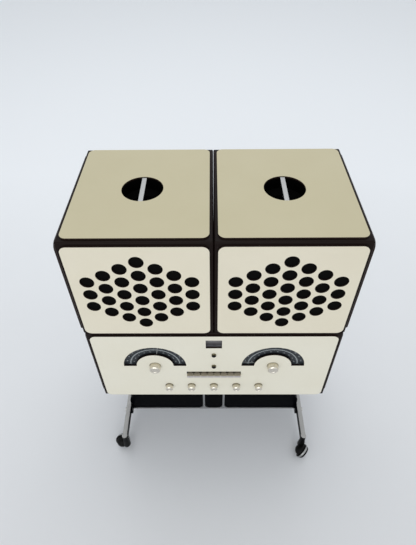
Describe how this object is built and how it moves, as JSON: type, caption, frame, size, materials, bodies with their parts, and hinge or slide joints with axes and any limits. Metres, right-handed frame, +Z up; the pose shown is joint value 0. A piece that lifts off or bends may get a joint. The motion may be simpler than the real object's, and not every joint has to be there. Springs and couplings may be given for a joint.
{
  "type": "radiogram",
  "caption": "Radiogram on a castored pedestal: white-fronted receiver and record deck with two lift-off loudspeakers on top.",
  "frame": {"origin": "on the floor under the middle of the radiogram", "axes": "+Z up, +Y from the front to the rear, +X to the right of someone facing the front"},
  "size_m": [0.665, 0.4452, 0.93],
  "materials": {
    "laminate_white": "satin cream-white laminate",
    "carcass_brown": "dark brown satin lacquer",
    "grille_black": "fine black cloth",
    "driver_black": "matt black",
    "cup_black": "glossy black",
    "bar_aluminium": "brushed",
    "knob_aluminium": "polished",
    "pointer_white": "satin white",
    "frame_aluminium": "satin",
    "dial_black": "glossy black with a fine white scale",
    "meter_grey": "smoked grey",
    "chassis_steel": "plated",
    "amplifier_grey": "mixed",
    "cover_board": "dark brown hardboard",
    "deck_grey": "satin grey",
    "platter_aluminium": "turned, with a black mat",
    "arm_aluminium": "satin",
    "key_aluminium": "satin",
    "button_black": "glossy black",
    "core_black": "glossy black lacquer",
    "bolt_steel": "plated",
    "castor_black": "black",
    "castor_tread": "black with a light metal tread ring"
  },
  "bodies": {
    "cabinet": {"pedestal_frame": "frame_aluminium", "column_core": "core_black", "beam_arms": "core_black", "stand_bolts": "bolt_steel", "foot_bar_left": "frame_aluminium", "foot_bar_right": "frame_aluminium", "main_carcass": "carcass_brown", "main_side_sheets": "laminate_white", "fascia_panel": "laminate_white", "dial_plates": "dial_black", "tuning_meter": "meter_grey", "chassis": "chassis_steel", "amplifier": "amplifier_grey", "back_cover": "cover_board", "deck_plate": "deck_grey"},
    "speaker_left": {"speaker_left_carcass": "carcass_brown", "speaker_left_cover_sheets": "laminate_white", "speaker_left_drivers": "driver_black", "speaker_left_front_panel": "laminate_white", "speaker_left_grille_cloth": "grille_black", "speaker_left_handle_bar": "bar_aluminium", "speaker_left_handle_cup": "cup_black", "speaker_left_top_sheet": "laminate_white"},
    "speaker_right": {"speaker_right_carcass": "carcass_brown", "speaker_right_cover_sheets": "laminate_white", "speaker_right_drivers": "driver_black", "speaker_right_front_panel": "laminate_white", "speaker_right_grille_cloth": "grille_black", "speaker_right_handle_bar": "bar_aluminium", "speaker_right_handle_cup": "cup_black", "speaker_right_top_sheet": "laminate_white"},
    "castor_hood_front_left": {"castor_hood_front_left": "castor_black"},
    "castor_wheel_front_left": {"castor_wheel_front_left": "castor_tread"},
    "castor_hood_front_right": {"castor_hood_front_right": "castor_black"},
    "castor_wheel_front_right": {"castor_wheel_front_right": "castor_tread"},
    "castor_hood_rear_left": {"castor_hood_rear_left": "castor_black"},
    "castor_wheel_rear_left": {"castor_wheel_rear_left": "castor_tread"},
    "castor_hood_rear_right": {"castor_hood_rear_right": "castor_black"},
    "castor_wheel_rear_right": {"castor_wheel_rear_right": "castor_tread"},
    "tuning_knob_left": {"tuning_knob_left": "knob_aluminium"},
    "dial_pointer_left": {"dial_pointer_left": "pointer_white"},
    "tuning_knob_right": {"tuning_knob_right": "knob_aluminium"},
    "dial_pointer_right": {"dial_pointer_right": "pointer_white"},
    "control_knob_1": {"control_knob_1": "knob_aluminium"},
    "control_knob_2": {"control_knob_2": "knob_aluminium"},
    "control_knob_3": {"control_knob_3": "knob_aluminium"},
    "control_knob_4": {"control_knob_4": "knob_aluminium"},
    "control_knob_5": {"control_knob_5": "knob_aluminium"},
    "push_key_1": {"push_key_1": "key_aluminium"},
    "push_key_2": {"push_key_2": "key_aluminium"},
    "push_key_3": {"push_key_3": "key_aluminium"},
    "push_key_4": {"push_key_4": "key_aluminium"},
    "push_key_5": {"push_key_5": "key_aluminium"},
    "push_key_6": {"push_key_6": "key_aluminium"},
    "push_key_7": {"push_key_7": "key_aluminium"},
    "push_key_8": {"push_key_8": "key_aluminium"},
    "push_button_1": {"push_button_1": "button_black"},
    "push_button_2": {"push_button_2": "button_black"},
    "platter": {"platter": "platter_aluminium"},
    "tonearm": {"tonearm": "arm_aluminium"}
  },
  "joints": [
    {"name": "speaker_left_lift", "type": "slide", "parent": "cabinet", "child": "speaker_left", "axis": [0, 0, 1], "range_m": [0, 0.12]},
    {"name": "speaker_right_lift", "type": "slide", "parent": "cabinet", "child": "speaker_right", "axis": [0, 0, 1], "range_m": [0, 0.12]},
    {"name": "castor_swivel_front_left", "type": "hinge", "parent": "cabinet", "child": "castor_hood_front_left", "pos_m": [-0.292, -0.1785, 0.06], "axis": [0, 0, 1], "continuous": true},
    {"name": "castor_roll_front_left", "type": "hinge", "parent": "castor_hood_front_left", "child": "castor_wheel_front_left", "pos_m": [-0.30862, -0.1671, 0.024], "axis": [0.0743, 0.9033, -0.4226], "continuous": true},
    {"name": "castor_swivel_front_right", "type": "hinge", "parent": "cabinet", "child": "castor_hood_front_right", "pos_m": [0.292, -0.1785, 0.06], "axis": [0, 0, 1], "continuous": true},
    {"name": "castor_roll_front_right", "type": "hinge", "parent": "castor_hood_front_right", "child": "castor_wheel_front_right", "pos_m": [0.2904, -0.19859, 0.024], "axis": [0.7487, -0.5107, -0.4226], "continuous": true},
    {"name": "castor_swivel_rear_left", "type": "hinge", "parent": "cabinet", "child": "castor_hood_rear_left", "pos_m": [-0.292, 0.1785, 0.06], "axis": [0, 0, 1], "continuous": true},
    {"name": "castor_roll_rear_left", "type": "hinge", "parent": "castor_hood_rear_left", "child": "castor_wheel_rear_left", "pos_m": [-0.2904, 0.19859, 0.024], "axis": [-0.7487, 0.5107, -0.4226], "continuous": true},
    {"name": "castor_swivel_rear_right", "type": "hinge", "parent": "cabinet", "child": "castor_hood_rear_right", "pos_m": [0.292, 0.1785, 0.06], "axis": [0, 0, 1], "continuous": true},
    {"name": "castor_roll_rear_right", "type": "hinge", "parent": "castor_hood_rear_right", "child": "castor_wheel_rear_right", "pos_m": [0.30862, 0.1671, 0.024], "axis": [-0.0743, -0.9033, -0.4226], "continuous": true},
    {"name": "tuning_turn_left", "type": "hinge", "parent": "cabinet", "child": "tuning_knob_left", "pos_m": [-0.1525, -0.178, 0.502], "axis": [0, 1, 0], "range_deg": [-470, 380]},
    {"name": "dial_sweep_left", "type": "hinge", "parent": "cabinet", "child": "dial_pointer_left", "pos_m": [-0.1525, -0.178, 0.502], "axis": [0, 1, 0], "range_deg": [-94, 76]},
    {"name": "tuning_turn_right", "type": "hinge", "parent": "cabinet", "child": "tuning_knob_right", "pos_m": [0.1525, -0.178, 0.502], "axis": [0, 1, 0], "range_deg": [0, 820]},
    {"name": "dial_sweep_right", "type": "hinge", "parent": "cabinet", "child": "dial_pointer_right", "pos_m": [0.1525, -0.178, 0.502], "axis": [0, 1, 0], "range_deg": [0, 164]},
    {"name": "control_turn_1", "type": "hinge", "parent": "cabinet", "child": "control_knob_1", "pos_m": [-0.1224, -0.178, 0.4053], "axis": [0, 1, 0], "range_deg": [-150, 150]},
    {"name": "control_turn_2", "type": "hinge", "parent": "cabinet", "child": "control_knob_2", "pos_m": [-0.0612, -0.178, 0.4053], "axis": [0, 1, 0], "range_deg": [-150, 150]},
    {"name": "control_turn_3", "type": "hinge", "parent": "cabinet", "child": "control_knob_3", "pos_m": [0, -0.178, 0.4053], "axis": [0, 1, 0], "range_deg": [-150, 150]},
    {"name": "control_turn_4", "type": "hinge", "parent": "cabinet", "child": "control_knob_4", "pos_m": [0.0612, -0.178, 0.4053], "axis": [0, 1, 0], "range_deg": [-150, 150]},
    {"name": "control_turn_5", "type": "hinge", "parent": "cabinet", "child": "control_knob_5", "pos_m": [0.1224, -0.178, 0.4053], "axis": [0, 1, 0], "range_deg": [-150, 150]},
    {"name": "key_press_1", "type": "slide", "parent": "cabinet", "child": "push_key_1", "axis": [0, 1, 0], "range_m": [0, 0.003], "stiffness_N_per_m": 300},
    {"name": "key_press_2", "type": "slide", "parent": "cabinet", "child": "push_key_2", "axis": [0, 1, 0], "range_m": [0, 0.003], "stiffness_N_per_m": 300},
    {"name": "key_press_3", "type": "slide", "parent": "cabinet", "child": "push_key_3", "axis": [0, 1, 0], "range_m": [0, 0.003], "stiffness_N_per_m": 300},
    {"name": "key_press_4", "type": "slide", "parent": "cabinet", "child": "push_key_4", "axis": [0, 1, 0], "range_m": [0, 0.003], "stiffness_N_per_m": 300},
    {"name": "key_press_5", "type": "slide", "parent": "cabinet", "child": "push_key_5", "axis": [0, 1, 0], "range_m": [0, 0.003], "stiffness_N_per_m": 300},
    {"name": "key_press_6", "type": "slide", "parent": "cabinet", "child": "push_key_6", "axis": [0, 1, 0], "range_m": [0, 0.003], "stiffness_N_per_m": 300},
    {"name": "key_press_7", "type": "slide", "parent": "cabinet", "child": "push_key_7", "axis": [0, 1, 0], "range_m": [0, 0.003], "stiffness_N_per_m": 300},
    {"name": "key_press_8", "type": "slide", "parent": "cabinet", "child": "push_key_8", "axis": [0, 1, 0], "range_m": [0, 0.003], "stiffness_N_per_m": 300},
    {"name": "button_press_1", "type": "slide", "parent": "cabinet", "child": "push_button_1", "axis": [0, 1, 0], "range_m": [0, 0.003], "stiffness_N_per_m": 300},
    {"name": "button_press_2", "type": "slide", "parent": "cabinet", "child": "push_button_2", "axis": [0, 1, 0], "range_m": [0, 0.003], "stiffness_N_per_m": 300},
    {"name": "platter_spin", "type": "hinge", "parent": "cabinet", "child": "platter", "pos_m": [-0.11, 0.012, 0.592], "axis": [0, 0, 1], "continuous": true},
    {"name": "arm_swing", "type": "hinge", "parent": "cabinet", "child": "tonearm", "pos_m": [0.078, 0.1, 0.592], "axis": [0, 0, -1], "range_deg": [0, 48]}
  ],
  "couplings": [
    {"joint": "dial_sweep_left", "follows": "tuning_turn_left", "ratio": 0.2},
    {"joint": "dial_sweep_right", "follows": "tuning_turn_right", "ratio": 0.2}
  ]
}
